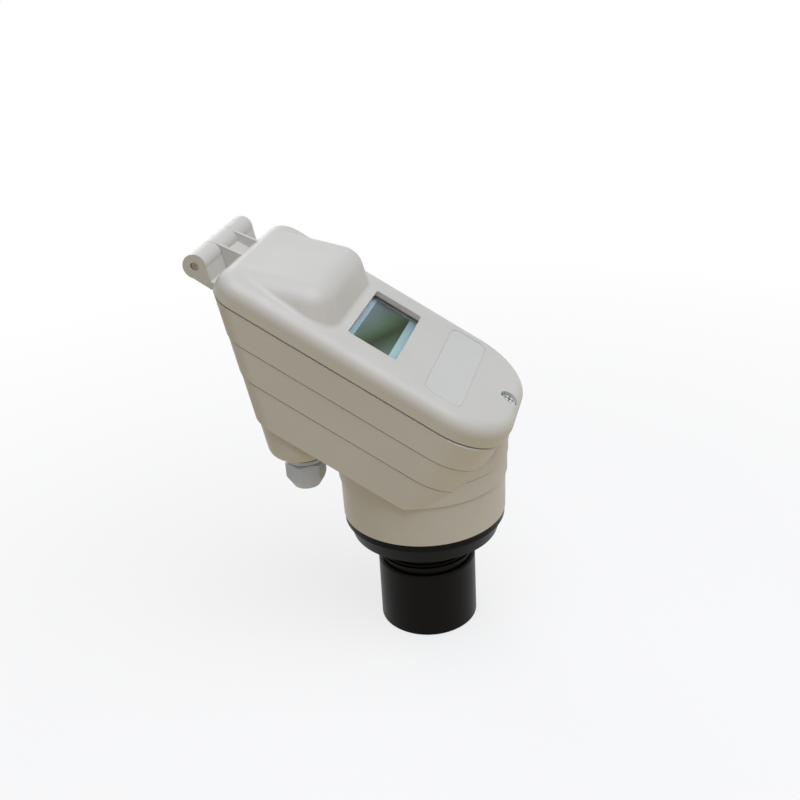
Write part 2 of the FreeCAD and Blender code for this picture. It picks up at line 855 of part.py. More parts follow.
knuckle = new_body("knuckle")
web_side = new_sketch(knuckle, "web_side", plane="YZ_Plane")
web_start = s.lid_rear - s.web_root
web_low = -s.lid_depth - s.web_lip
draw_polygon(web_side, ((web_start, -s.lid_depth), (web_start, s.web_thick - s.lid_depth),
                        (hinge_back, s.web_end - s.hinge_depth), (hinge_back, web_low),
                        (s.lid_rear, web_low), (s.lid_rear, -s.lid_depth)))
extrude(knuckle, "Pad", web_side, s.knuckle_half_length * 2, both_ways=True)
barrel_side = new_sketch(knuckle, "barrel_side", plane="YZ_Plane")
draw_circle(barrel_side, hinge_back, -s.hinge_depth, s.hinge_radius)
extrude(knuckle, "Pad", barrel_side, s.knuckle_half_length * 2, both_ways=True)
for rib_name, rib_across in (("rib_left", -s.knuckle_half_length),
                             ("rib_right", s.knuckle_half_length - s.rib_thick)):
    rib = new_sketch(knuckle, rib_name, plane="YZ_Plane", offset=rib_across)
    rib_start = s.lid_rear - s.rib_root
    draw_polygon(rib, ((rib_start, -s.hinge_depth), (rib_start, -s.rib_sunk),
                       (hinge_back, s.hinge_radius - s.hinge_depth),
                       (hinge_back, -s.hinge_depth)))
    extrude(knuckle, "Pad", rib, s.rib_thick)

turning_bore = cross_rod("turning_bore", s.pin_radius + s.pin_play_turning, BEYOND)
lid = cut("lid_shape", fuse("lid_parts", [lid_shell, screw_post, knuckle]),
          [screw_seat, screw_hole, window, label_place, groove, turning_bore])
node(lid, "lid")

pin_half_length = s.hinge_half_length - s.pin_inset
node(cross_rod("pin", s.pin_radius, pin_half_length), "hinge_pin")

gasket = seal_ring_body("gasket", s.gasket_play, s.gasket_gap - rim_top,
                        s.gasket_height - s.lid_depth)
node(gasket, "lid_gasket")

pane = rounded_plate("pane", (s.window_half_width + s.pane_lap, s.window_front - s.pane_lap,
                              s.window_rear + s.pane_lap, s.pane_round, s.pane_round),
                     -s.lid_wall, s.pane_thick)
node(pane, "window_pane")

# Lid screw with a cross recess

head_low = s.screw_head_gap - s.screw_seat_depth
screw_top = head_low + s.screw_head_height
screw_head = new_body("screw_head")
head_plan = new_sketch(screw_head, "screw_head_plan", offset=head_low)
draw_circle(head_plan, 0, -s.screw_back, s.screw_head_radius)
extrude(screw_head, "Pad", head_plan, s.screw_head_height)
round_edges(screw_head, "screw_head_edge", s.screw_head_round,
            lambda edge: lies_at(edge, "Z", screw_top.value))
screw_shank = on_lid(rod("screw_shank", s.screw_root_radius, s.screw_length), 0, -s.screw_back,
                     head_low - s.screw_length)
slots = []
for name, wide, tall in (("slot_across", s.screw_slot_length, s.screw_slot_width),
                         ("slot_along", s.screw_slot_width, s.screw_slot_length)):
    slot = block(name, wide, tall, s.screw_slot_depth * 2)
    slots.append(on_lid(slot, wide / -2, -s.screw_back - tall / 2,
                        screw_top - s.screw_slot_depth))
node(cut("screw_shape", fuse("screw_form", [screw_head, screw_shank]), slots), "lid_screw")

# Panel under the lid, with the display, the keys and the board below

panel_top = s.panel_thick - s.panel_shelf
panel_outline = (housing_half_width - s.rim_wall - s.panel_play, -s.panel_front, s.panel_rear,
                 s.panel_front_round, s.panel_rear_round)
panel_plate = rounded_plate("panel_plate", panel_outline, panel_top, s.panel_thick)
display_hole = rounded_plate("display_hole", (s.display_half_width + s.display_play,
                                              s.display_front - s.display_play,
                                              s.display_rear + s.display_play,
                                              s.display_round, s.display_round),
                             panel_top + OVER, s.panel_thick + OVER * 2)
key_spots = [s.key_spacing * place for place in (-1, 0, 1)]
key_holes = [on_lid(rod(f"key_hole_{i}", s.key_radius + s.key_play, BEYOND), x, -s.key_back,
                    -BEYOND / 2)
             for i, x in enumerate(key_spots)]
panel_drills = [on_lid(rod(f"panel_drill_{i}", s.small_radius + s.small_drill_play, BEYOND),
                       x, u, -BEYOND / 2)
                for i, (x, u) in enumerate(panel_spots)]
node(cut("panel_shape", panel_plate, [display_hole] + key_holes + panel_drills), "inner_panel")

panel_screws = []
for i, (x, u) in enumerate(panel_spots):
    head = on_lid(rod(f"panel_head_{i}", s.small_head_radius, s.small_head_height), x, u,
                  panel_top)
    shank = on_lid(rod(f"panel_shank_{i}", s.small_radius, s.small_length), x, u,
                   panel_top - s.small_length)
    panel_screws.append(fuse(f"panel_screw_{i}", [head, shank]))
node(group("panel_screw_set", panel_screws), "panel_screws")

board_outline = (s.board_half_width, -s.board_front, s.board_rear, s.board_front_round,
                 s.board_rear_round)
node(rounded_plate("board", board_outline, -s.board_top, s.board_thick), "main_board")

spacer_spots = [(s.spacer_across * side, -u) for side in (-1, 1)
                for u in (s.spacer_front, s.spacer_rear)]
spacers = [on_lid(rod(f"spacer_{i}", s.spacer_radius, s.board_top - s.panel_shelf), x, u,
                  -s.board_top)
           for i, (x, u) in enumerate(spacer_spots)]
node(group("spacer_set", spacers), "board_spacers")

display_frame = rounded_plate("display_frame", (s.display_half_width, s.display_front,
                                                s.display_rear, s.display_round, s.display_round),
                              -s.display_top, s.board_top - s.display_top)
display_well = rounded_plate("display_well", (s.glass_half_width, s.glass_front, s.glass_rear,
                                              s.glass_round, s.glass_round), 0, BEYOND)
node(cut("display_shape", display_frame, [display_well]), "display_bezel")

glass_outline = (s.glass_half_width - s.glass_play, s.glass_front + s.glass_play,
                 s.glass_rear - s.glass_play, s.glass_round, s.glass_round)
glass_top = -s.display_top - s.glass_sunk
node(rounded_plate("glass", glass_outline, glass_top, s.glass_thick), "display_glass")
node(rounded_plate("backlight", glass_outline, glass_top - s.glass_thick,
                   s.board_top + glass_top - s.glass_thick), "display_backlight")

collar_top = -s.panel_shelf - s.key_collar_gap
switch_top = collar_top - s.key_collar_thick - s.key_travel - s.switch_gap
switches = []
for i, (x, name) in enumerate(zip(key_spots, KEY_NAMES)):
    cap = on_lid(rod(f"cap_{i}", s.key_radius, panel_top + s.key_stand - collar_top), x,
                 -s.key_back, collar_top)
    flange = on_lid(rod(f"flange_{i}", s.key_collar_radius, s.key_collar_thick), x,
                    -s.key_back, collar_top - s.key_collar_thick)
    node(fuse(name + "_shape", [cap, flange]), name)
    switch = block(f"switch_{i}", s.switch_width, s.switch_width, s.board_top + switch_top)
    switches.append(on_lid(switch, x - s.switch_width / 2, -s.key_back - s.switch_width / 2,
                           -s.board_top))
node(group("switch_set", switches), "key_switches")

# Terminal block on the rear of the board

terminal_half = s.terminal_pitch * (TERMINAL_POLES / 2)
terminal_top = s.terminal_height - s.board_top
terminal_line = s.terminal_front + s.terminal_depth / 2
terminal_body = on_lid(block("terminal_body", terminal_half * 2, s.terminal_depth,
                             s.terminal_height), -terminal_half, s.terminal_front, -s.board_top)
terminal_cuts = []
terminal_screws = []
for i in range(TERMINAL_POLES):
    x = s.terminal_pitch * (i + 0.5) - terminal_half
    hole = rod(f"terminal_hole_{i}", s.terminal_hole_radius, s.terminal_screw_depth + OVER)
    terminal_cuts.append(on_lid(hole, x, terminal_line, terminal_top - s.terminal_screw_depth))
    mouth = block(f"terminal_mouth_{i}", s.terminal_mouth, s.terminal_mouth_depth + OVER,
                  s.terminal_mouth)
    terminal_cuts.append(on_lid(mouth, x - s.terminal_mouth / 2,
                                s.terminal_front + s.terminal_depth - s.terminal_mouth_depth,
                                s.terminal_mouth_floor - s.board_top))
    screw = rod(f"terminal_rod_{i}", s.terminal_screw_radius,
                s.terminal_screw_depth - s.terminal_screw_sunk)
    slot = block(f"terminal_slot_{i}", s.terminal_screw_radius * 2 + OVER, s.terminal_slot_width,
                 s.terminal_slot_depth + OVER)
    on_lid(screw, x, terminal_line, terminal_top - s.terminal_screw_depth)
    on_lid(slot, x - s.terminal_screw_radius - OVER / 2, terminal_line - s.terminal_slot_width / 2,
           terminal_top - s.terminal_screw_sunk - s.terminal_slot_depth)
    terminal_screws.append(cut(f"terminal_screw_{i}", screw, [slot]))
node(cut("terminal_shape", terminal_body, terminal_cuts), "terminal_block")
node(group("terminal_screw_set", terminal_screws), "terminal_screws")

# Collar and transducer, all turned about the axis

spigot_radius = s.neck_bore - s.spigot_play
spigot_top = s.neck_foot + s.spigot_height
groove_foot = s.neck_foot + s.ring_height
collar_bore = s.thread_root_radius + s.thread_play
collar_waist = s.neck_foot - s.collar_rim
collar = turned("collar", (
    (collar_bore, s.collar_foot), (s.collar_foot_radius, s.collar_foot),
    (s.collar_radius - s.collar_step, collar_waist), (s.collar_radius, collar_waist),
    (s.collar_radius, s.neck_foot), (spigot_radius, s.neck_foot),
    (spigot_radius, groove_foot), (spigot_radius - s.ring_groove, groove_foot),
    (spigot_radius - s.ring_groove, groove_foot + s.ring_groove_width),
    (spigot_radius, groove_foot + s.ring_groove_width), (spigot_radius, spigot_top),
    (spigot_radius - s.spigot_wall, spigot_top), (spigot_radius - s.spigot_wall, s.neck_foot),
    (collar_bore, s.neck_foot)))
node(collar, "neck_collar")

ring_inside = spigot_radius - s.ring_groove + s.ring_play
ring_outside = s.neck_bore - s.ring_play
ring_low = groove_foot + s.ring_play
ring_high = groove_foot + s.ring_groove_width - s.ring_play
seal_ring = turned("seal_ring", ((ring_inside, ring_low), (ring_outside, ring_low),
                                 (ring_outside, ring_high), (ring_inside, ring_high)))
node(seal_ring, "neck_seal_ring")

shell_radius = s.thread_root_radius - s.shell_wall
relief_top = s.head_height + s.relief_height
head = turned("transducer", (
    (0, 0), (s.head_radius, 0), (s.head_radius, s.head_height),
    (s.relief_radius, s.head_height), (s.relief_radius, relief_top),
    (s.thread_root_radius, relief_top), (s.thread_root_radius, s.thread_top),
    (shell_radius, s.thread_top), (shell_radius, s.face_thick), (0, s.face_thick)))
round_edges(head, "head_shoulder", s.head_round,
            lambda edge: lies_at(edge, "Z", s.head_height.value)
            and edge.BoundBox.XMax > s.relief_radius.value + 1)
round_edges(head, "face_edge", s.face_chamfer,
            lambda edge: lies_at(edge, "Z", 0) and edge.BoundBox.XMax > 1, kind="Chamfer")
node(head, "transducer_shell")

fill_radius = shell_radius - s.fill_play
match_top = s.face_thick + s.match_thick
piezo_top = match_top + s.piezo_thick
node(upright(rod("match", fill_radius, s.match_thick), 0, 0, s.face_thick), "matching_layer")
node(upright(rod("piezo", s.piezo_radius, s.piezo_thick), 0, 0, match_top), "piezo_disc")
node(upright(rod("fill", fill_radius, s.fill_top - piezo_top), 0, 0, piezo_top),
     "transducer_potting")

# Cable gland in the left entry, blanking plug in the right one


def entry_at(obj, side, z):
    return upright(obj, s.entry_across * side, s.entry_back, z)


def entry_washer(name, side):
    low = entry_foot - s.washer_thick
    disc = entry_at(rod(name + "_disc", s.washer_radius, s.washer_thick), side, low)
    hole = entry_at(rod(name + "_hole", s.entry_radius, s.washer_thick + OVER * 2), side, low - OVER)
    return cut(name + "_shape", disc, [hole])


hex_wide = s.hex_corner_radius - s.hex_corner_trim
hex_narrow = hex_wide - s.hex_chamfer_run


def hex_piece(name, side, foot, profile):
    """Hexagon trimmed to a turned profile of (radius, height) points above its foot."""
    length = profile[-1][1]
    flats = entry_at(hexagon(name + "_flats", s.hex_corner_radius, length), side, foot)
    blank = entry_at(turned(name + "_blank", profile), side, foot)
    return common(name, [flats, blank])


def hex_head(name, side, foot, length):
    return hex_piece(name, side, foot, ((0, 0), (hex_narrow, 0), (hex_wide, s.hex_chamfer),
                                        (hex_wide, length), (0, length)))


seat = entry_foot - s.washer_thick
shank_radius = s.entry_radius - s.thread_play
shank_length = s.gland_shank + s.washer_thick
node(entry_washer("gland_washer", -1), "gland_washer")
node(entry_washer("plug_washer", 1), "plug_washer")

gland_low = seat - s.gland_collar
tube_low = gland_low - s.gland_tube_length
gland_form = fuse("gland_form", [
    hex_head("gland_hex", -1, gland_low, s.gland_collar),
    entry_at(rod("gland_shank", shank_radius, shank_length), -1, seat),
    entry_at(rod("gland_tube", s.gland_tube_radius, s.gland_tube_length), -1, tube_low)])
gland_cuts = [
    entry_at(rod("gland_way", s.gland_bore, BEYOND), -1, tube_low - OVER),
    entry_at(rod("gland_socket", s.seal_radius + s.thread_play, s.gland_tube_length), -1,
             tube_low)]
node(cut("gland_shape", gland_form, gland_cuts), "gland_body")

nut_top = gland_low - s.nut_gap
nut_length = s.nut_hex_length + s.nut_taper_length
nut_foot = nut_top - nut_length
seal_top = gland_low - s.thread_play
seal = cut("seal_shape", entry_at(rod("seal_rod", s.seal_radius, s.seal_length), -1,
                                  seal_top - s.seal_length),
           [entry_at(rod("seal_bore", s.seal_bore, s.seal_length + OVER * 2), -1,
                     seal_top - s.seal_length - OVER)])
node(seal, "gland_seal")

nut_form = hex_piece("nut_form", -1, nut_foot, (
    (0, 0), (s.nut_mouth_radius, 0), (hex_wide, s.nut_taper_length),
    (hex_wide, nut_length - s.hex_chamfer), (hex_narrow, nut_length), (0, nut_length)))
nut_well = seal_top - s.seal_length - s.seal_gap
nut_cuts = [
    entry_at(rod("nut_way", s.nut_bore, BEYOND), -1, nut_foot - OVER),
    entry_at(rod("nut_thread", s.gland_tube_radius + s.nut_play, BEYOND), -1, nut_well)]
node(cut("nut_shape", nut_form, nut_cuts), "gland_nut")

plug_form = fuse("plug_form", [
    hex_head("plug_hex", 1, seat - s.plug_head, s.plug_head),
    entry_at(rod("plug_shank", shank_radius, shank_length), 1, seat)])
node(plug_form, "blanking_plug")


def write_parts():
    """Check every object and write each named piece to its own file."""
    doc.recompute()
    for obj in doc.Objects:
        if "Invalid" in obj.State or "Error" in obj.State:
            raise RuntimeError(f"{obj.Name} did not build: {obj.State}")
    os.makedirs("parts", exist_ok=True)
    for piece in nodes:
        shape = piece.Shape
        if shape.isNull() or not shape.isValid() or not shape.Solids:
            raise RuntimeError(f"{piece.Label} has no sound solid")
        shape.exportStep(f"parts/{piece.Label}.step")
        print(f"{piece.Label}: {len(shape.Solids)} solid, {shape.Volume / 1000:.2f} cm3")


write_parts()
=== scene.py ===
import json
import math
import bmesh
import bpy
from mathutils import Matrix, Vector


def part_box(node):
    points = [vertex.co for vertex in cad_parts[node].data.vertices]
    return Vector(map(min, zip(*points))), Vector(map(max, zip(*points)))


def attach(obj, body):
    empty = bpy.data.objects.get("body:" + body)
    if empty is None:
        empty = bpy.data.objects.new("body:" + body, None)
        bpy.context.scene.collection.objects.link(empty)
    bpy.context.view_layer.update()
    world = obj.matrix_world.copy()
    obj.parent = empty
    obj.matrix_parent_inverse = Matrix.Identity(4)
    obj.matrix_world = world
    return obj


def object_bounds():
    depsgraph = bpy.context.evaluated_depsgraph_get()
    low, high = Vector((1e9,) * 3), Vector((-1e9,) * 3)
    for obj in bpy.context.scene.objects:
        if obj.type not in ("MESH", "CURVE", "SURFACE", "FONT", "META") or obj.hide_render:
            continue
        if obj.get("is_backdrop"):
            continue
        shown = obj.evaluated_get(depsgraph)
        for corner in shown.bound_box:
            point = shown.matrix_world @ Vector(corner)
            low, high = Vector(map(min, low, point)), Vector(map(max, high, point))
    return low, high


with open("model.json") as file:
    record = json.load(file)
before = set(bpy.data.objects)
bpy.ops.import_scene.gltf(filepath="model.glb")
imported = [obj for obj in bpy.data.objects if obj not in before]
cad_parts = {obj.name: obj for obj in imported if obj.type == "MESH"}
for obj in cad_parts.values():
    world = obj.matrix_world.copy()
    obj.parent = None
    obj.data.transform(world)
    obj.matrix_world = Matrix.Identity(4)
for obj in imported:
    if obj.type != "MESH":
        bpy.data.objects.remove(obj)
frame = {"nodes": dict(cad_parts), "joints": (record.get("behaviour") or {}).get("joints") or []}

# %% [markdown]
# # An ultrasonic level meter
# Such a meter stands on top of a tank and times the echo of a sound pulse from the liquid below. Its solids
# are already made: a sloping plastic head with a hinged lid, a round neck, a black collar and a black
# transducer. This lesson gives every piece the finish of its real material and adds two screw threads and a
# label film, which the solids do without. Then it lights the meter and sets up a camera.
# Lengths below are in millimetres, and one factor turns them into Blender's metres.

MM = 0.001
nodes = frame["nodes"]
cad_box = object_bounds()
print("solids:", len(nodes), "size in mm:", [round(v / MM, 1) for v in cad_box[1] - cad_box[0]])

# %% [markdown]
# ## Colours and nodes
# Colours are written as they would be read off a screen, as sRGB hex values, but a shader works with linear
# light, so one function turns them. A node could be added, set and linked line by line. One small function
# does all of that instead, which keeps each material down to the lines that matter.

# %% Two helpers for materials


def linear(hex_colour):
    """Linear colour with full alpha for an sRGB value such as #808080."""
    parts = [int(hex_colour[i:i + 2], 16) / 255 for i in (1, 3, 5)]
    return (*(p / 12.92 if p <= 0.04045 else ((p + 0.055) / 1.055) ** 2.4 for p in parts), 1.0)


def add(tree, kind, inputs=None, links=None, stops=(), **settings):
    """A node with its settings, values for its inputs, links that feed them, and stops for a colour ramp."""
    node = tree.nodes.new("ShaderNode" + kind)
    for name, value in settings.items():
        setattr(node, name, value)
    for socket, value in (inputs or {}).items():
        node.inputs[socket].default_value = value
    for socket, source in (links or {}).items():
        tree.links.new(source, node.inputs[socket])
    for spot, (position, colour) in enumerate(stops):
        ramp = node.color_ramp.elements
        stop = ramp[spot] if spot < len(ramp) else ramp.new(position)
        stop.position = position
        stop.color = linear(colour)
    return node


print("mid grey in linear light:", round(linear("#808080")[0], 3))

# %% [markdown]
# Every material begins as an empty tree and ends in one Principled shader, which suits plastic, metal and
# glass alike. The patterns in between read Object coordinates. Each piece sits at the origin, unturned and at
# its real size, so these are metres in the meter's own frame, and a pattern keeps its size on every piece.

# %% Begin and end a material


def empty_tree(owner):
    """Node tree of a material or a world, without its default nodes."""
    owner.use_nodes = True
    owner.node_tree.nodes.clear()
    return owner.node_tree


def begin_material(name):
    """A new material, its empty tree and the Object coordinates in it."""
    material = bpy.data.materials.new(name)
    tree = empty_tree(material)
    return material, tree, add(tree, "TexCoord").outputs["Object"]


def end_material(tree, links, **surface):
    """Principled shader with plain values for the surface and links for what a pattern drives."""
    values = {socket.replace("_", " "): value for socket, value in surface.items()}
    shader = add(tree, "BsdfPrincipled", values, links)
    add(tree, "OutputMaterial", links={"Surface": shader.outputs["BSDF"]})


print("materials at the start:", len(bpy.data.materials))

# %% [markdown]
# ## Moulded plastics
# The head, the gland and the black parts are injection moulded. The steel mould is spark eroded, which prints
# a fine grit on the plastic and makes it satin, and the melt leaves faint clouds of shade. One flat colour
# would be quicker, but it looks like paint. So a broad noise drives the clouds and the gloss, and a fine one
# drives a shallow bump. The real grit is about 0.2 mm wide. It is drawn several times coarser, because it
# would not show otherwise.

# %% A function for moulded plastics
# Usual width of a cloud
CLOUD_WIDTH = 45
# Values of the noise between which the shade goes from deep to pale
NOISE_LOW = 0.3
NOISE_HIGH = 0.7
# How far the roughness strays from its middle: glossier where pale, duller where deep
SATIN_SPREAD = 0.04
# Share of the grit's depth that the bump shows
GRIT_STRENGTH = 0.35


def moulded(name, pale, deep, grit, grit_depth, roughness, cloud=CLOUD_WIDTH, **surface):
    """Plastic with clouds of shade and gloss, and with grit; widths and depths in millimetres."""
    material, tree, place = begin_material(name)
    clouds = add(tree, "TexNoise", {"Scale": 1 / (cloud * MM), "Detail": 4.0}, {"Vector": place})
    shade = add(tree, "ValToRGB", links={"Fac": clouds.outputs["Fac"]},
                stops=[(NOISE_LOW, deep), (NOISE_HIGH, pale)])
    satin = add(tree, "MapRange", {"From Min": NOISE_LOW, "From Max": NOISE_HIGH,
                                   "To Min": roughness + SATIN_SPREAD, "To Max": roughness - SATIN_SPREAD},
                {"Value": clouds.outputs["Fac"]})
    grain = add(tree, "TexNoise", {"Scale": 1 / (grit * MM), "Detail": 2.0}, {"Vector": place})
    skin = add(tree, "Bump", {"Strength": GRIT_STRENGTH, "Distance": grit_depth * MM},
               {"Height": grain.outputs["Fac"]})
    end_material(tree, {"Base Color": shade.outputs["Color"], "Roughness": satin.outputs["Result"],
                        "Normal": skin.outputs["Normal"]}, **surface)
    return material


print("clouds in mm:", CLOUD_WIDTH, "roughness varies by:", SATIN_SPREAD)

# %% [markdown]
# Outside, the case is ASA, a plastic that stands sunlight. The parts towards the tank are polypropylene, and
# the gland is nylon. Their shades could be taken from a colour chart. They were matched to the photograph
# under the lamps further down instead, because one plastic is sold in many greys.

# %% Plastics of the outside
# Light grey with a satin skin, so the case looks even and a little soft
case_asa = moulded("moulded ASA, light grey", "#D2CFC8", "#CDCAC3", grit=0.9, grit_depth=0.05,
                   roughness=0.45, IOR=1.52)
# Nearly black and weak in gloss, so the round parts show only a thin highlight
black_pp = moulded("moulded polypropylene, black", "#110F0B", "#0D0B08", grit=0.8, grit_depth=0.06,
                   roughness=0.35, IOR=1.49, Specular_IOR_Level=0.09)
# A cooler grey than the case, so the gland reads as a piece of its own
gland_nylon = moulded("moulded nylon, blue grey", "#CCD5EA", "#C4CDE2", grit=0.7, grit_depth=0.05,
                      roughness=0.4, IOR=1.53)
print("outside:", [material.name for material in (case_asa, black_pp, gland_nylon)])

# %% [markdown]
# Under the lid a panel carries the keys, a frame holds the display, and a block takes the wires. They are
# moulded as well, so the same function makes them. Their colours tell them apart when the lid is open.

# %% Plastics of the inside
# Mid grey for the panel, so the keys and the display stand out
panel_abs = moulded("moulded ABS, mid grey", "#8E9092", "#888A8C", grit=0.8, grit_depth=0.04,
                    roughness=0.5, IOR=1.54)
# Pale blue, so the frame shows as a light strip on both sides of the display
frame_pbt = moulded("moulded PBT, pale blue", "#CCE6F5", "#C4DEED", grit=0.8, grit_depth=0.03,
                    roughness=0.4, IOR=1.57)
# The usual green of terminal blocks, which sets the block off against the panel
terminal_pa = moulded("moulded polyamide, green", "#2E7D4F", "#287447", grit=0.7, grit_depth=0.04,
                      roughness=0.45, IOR=1.53)
print("inside:", [material.name for material in (panel_abs, frame_pbt, terminal_pa)])

# %% [markdown]
# ## Rubbers
# The seals and the key caps are pressed from rubber, which is duller than plastic and shows a rougher skin.
# Rubber could have a shader of its own with a sheen, but it too is a cloud and a grit. So the same function
# makes it, with a high roughness. The bodies of the switches are pressed from phenolic in the same way.

# %% Rubber and phenolic
# Dull black, so a seal shows as a dark line between two pieces
seal_nbr = moulded("pressed nitrile rubber, black", "#201F1E", "#191817", grit=0.6, grit_depth=0.08,
                   roughness=0.75, IOR=1.52)
# Dark grey with a soft skin, so the keys look as if a finger could press them
key_silicone = moulded("pressed silicone rubber, dark grey", "#4A4D50", "#434649", grit=0.6, grit_depth=0.05,
                       roughness=0.65, IOR=1.41)
# Brownish black and harder to the eye than rubber, because it has more gloss
switch_phenolic = moulded("pressed phenolic, black", "#262422", "#1F1D1B", grit=0.5, grit_depth=0.04,
                          roughness=0.5, IOR=1.6)
print("pressed:", [material.name for material in (seal_nbr, key_silicone, switch_phenolic)])

# %% [markdown]
# ## Inside the transducer
# A disc of piezo ceramic makes the sound. In front of it lies a matching layer, which is epoxy full of tiny
# hollow glass beads, and behind it the shell is filled with cast epoxy. Nobody sees them in a whole meter,
# but a reader who takes it apart does, so they get their own finishes with smaller clouds.

# %% Epoxy and ceramic
# Cloudy amber grey with wide shallow waves and some gloss, as a poured resin sets
potting_epoxy = moulded("cast epoxy, amber grey", "#7C715C", "#6A604D", grit=3.0, grit_depth=0.1, cloud=12,
                        roughness=0.3, IOR=1.55)
# Speckled and chalky, because the beads scatter the light
bead_epoxy = moulded("cast glass bead epoxy, buff", "#C9BE9F", "#B4A888", grit=0.5, grit_depth=0.15,
                     cloud=4, roughness=0.7, IOR=1.5)
# An even, dry buff, like an unglazed tile
piezo_ceramic = moulded("fired lead zirconate, buff", "#C6B795", "#BDAE8B", grit=0.4, grit_depth=0.05,
                        cloud=8, roughness=0.6, IOR=2.3)
print("transducer:", [material.name for material in (potting_epoxy, bead_epoxy, piezo_ceramic)])

# %% [markdown]
# ## The slope of the lid
# The screws stand square on the sloping lid, and the display and the board lie parallel to it. The slope
# could be typed in. The frame already holds the axis of the lid screw, so it is read from there, and it
# follows if the meter is ever made with another slope.

# %% Read the lid's slope
joints = {joint["name"]: joint for joint in frame["joints"]}
screw_place = Vector(joints["lid_screw_turn"]["pos_m"])
hinge_place = Vector(joints["lid_hinge"]["pos_m"])
lid_normal = Vector(joints["lid_screw_turn"]["axis"]).normalized()
lid_slope = math.atan2(-lid_normal.y, lid_normal.z)
print("lid slope in degrees:", round(math.degrees(lid_slope), 2))

# %% [markdown]
# ## Turned metal
# The lid screw and the small screws are stainless steel, the insert is brass and the hinge pin is plain steel
# gone dull, drawn darker also as painted shade deep in its hole. A lathe leaves fine rings on each. A brushed
# look would be a stretched noise, but rings come from a wave texture, centred on an axis and turned with the
# lid. The small screws share the rings of the lid screw and show an arc of them. The real rings are about
# 0.1 mm apart. They are drawn far coarser, because a millimetre is less than two pixels wide in the picture.

# %% A function for turned metals
# Far coarser than the real rings, which would not show
RING_PITCH = 3.14
RING_DEPTH = 0.02
# Length of one ring of a wave texture at a scale of 1
WAVE_LENGTH = math.pi / 10
# How far the roughness strays from its middle: glossier on the bright rings
RING_SPREAD = 0.05


def turned_metal(name, bright, dull, centre, slope, axis, roughness):
    """Metal with rings round an axis through a centre, in coordinates turned with a slope."""
    material, tree, place = begin_material(name)
    centred = add(tree, "Mapping", {"Location": -centre}, {"Vector": place})
    level = add(tree, "Mapping", {"Rotation": (-slope, 0, 0)}, {"Vector": centred.outputs["Vector"]})
    rings = add(tree, "TexWave", {"Scale": WAVE_LENGTH / (RING_PITCH * MM), "Distortion": 2.0, "Detail": 2.0,
                                  "Detail Scale": 3.0},
                {"Vector": level.outputs["Vector"]}, wave_type="RINGS", rings_direction=axis)
    shade = add(tree, "ValToRGB", links={"Fac": rings.outputs["Fac"]}, stops=[(0, dull), (1, bright)])
    gloss = add(tree, "MapRange", {"To Min": roughness + RING_SPREAD, "To Max": roughness - RING_SPREAD},
                {"Value": rings.outputs["Fac"]})
    grooves = add(tree, "Bump", {"Strength": 0.25, "Distance": RING_DEPTH * MM},
                  {"Height": rings.outputs["Fac"]})
    end_material(tree, {"Base Color": shade.outputs["Color"], "Roughness": gloss.outputs["Result"],
                        "Normal": grooves.outputs["Normal"]}, Metallic=1.0)
    return material


print("rings drawn in mm:", RING_PITCH)

# %% [markdown]
# Steel and brass share the function and differ in colour and polish. One steel for all would be simpler, but
# the pin is cut from a drawn bar that was never polished, its darker brown is partly painted shade of its
# hole, and the rings on its end go round X.

# %% Steel and brass
# Bright and fairly smooth, so the lid screw glints under the lamps; the strong contrast of its lathe rings
# adds a painted glint, a bright ring on the screw's head
stainless = turned_metal("turned stainless steel with a painted glint", "#DFE4E5", "#A0A4A5", screw_place, lid_slope, "Z",
                         roughness=0.25)
# Warm yellow, so the insert stands out from the plastic round it
brass = turned_metal("turned brass", "#D9B96A", "#C4A354", screw_place, lid_slope, "Z", roughness=0.35)
# Dull brownish steel, its darkness partly painted shade: only the pin's end shows, deep in its hole
pin_steel_and_shade = turned_metal("drawn steel, dull, with painted shade", "#8E8474", "#7A705F", hinge_place, 0.0, "X", roughness=0.5)
print("metals:", [material.name for material in (stainless, brass, pin_steel_and_shade)])

# %% [markdown]
# ## Ruled surfaces
# The display is a liquid crystal cell that is switched off: grey-green glass under a polariser, which is why
# it is so even. Close up the eye finds only a faint grid of cells. The circuit board is glass-fibre epoxy
# under a green lacquer, with copper tracks that show through as slightly paler lines. Both could be drawn by
# hand, but straight lines at a fixed pitch are what a brick texture makes, with short bricks or long ones.

# %% Display glass and board


def ruled(name, field, line, pitch, line_share, length_share, stagger, relief=0.0, **surface):
    """A part in the lid's plane with lines a pitch apart, as wide and as long as two shares of the pitch."""
    material, tree, place = begin_material(name)
    flat = add(tree, "Mapping", {"Rotation": (-lid_slope, 0, 0)}, {"Vector": place})
    lines = add(tree, "TexBrick", {"Scale": 1 / (pitch * MM), "Mortar Size": line_share, "Row Height": 1.0,
                                   "Brick Width": length_share, "Mortar": linear(line),
                                   "Color1": linear(field), "Color2": linear(field)},
                {"Vector": flat.outputs["Vector"]}, offset=stagger)
    links = {"Base Color": lines.outputs["Color"]}
    if relief:
        ridges = add(tree, "Bump", {"Strength": 0.3, "Distance": relief * MM},
                     {"Height": lines.outputs["Fac"]})
        links["Normal"] = ridges.outputs["Normal"]
    end_material(tree, links, **surface)
    return material


# Dark grey green and glossy, with a grid of cells so faint that the glass looks even from afar
lcd = ruled("polished display glass, grey green", "#4A4C3C", "#434636", pitch=1.2, line_share=0.04,
            length_share=1.0, stagger=0.0, Roughness=0.12, IOR=1.52)
# Deep green with paler raised tracks, so the board shows that it carries a circuit
board = ruled("lacquered glass-fibre board, green", "#1F5B3C", "#2F7350", pitch=2.54, line_share=0.12,
              length_share=7.0, stagger=0.5, relief=0.03, Roughness=0.35, IOR=1.55)
print("ruled:", lcd.name, "and", board.name)

# %% [markdown]
# ## The window pane
# The pane is a moulded sheet of clear polycarbonate. It could be made see-through with alpha, but alpha does
# not bend the light as a sheet does, so the shader transmits it instead. A moulded sheet is never quite
# flat, and a very shallow, broad bump makes its mirror image waver.

# %% Clear polycarbonate
WAVER_WIDTH = 20
WAVER_DEPTH = 0.05
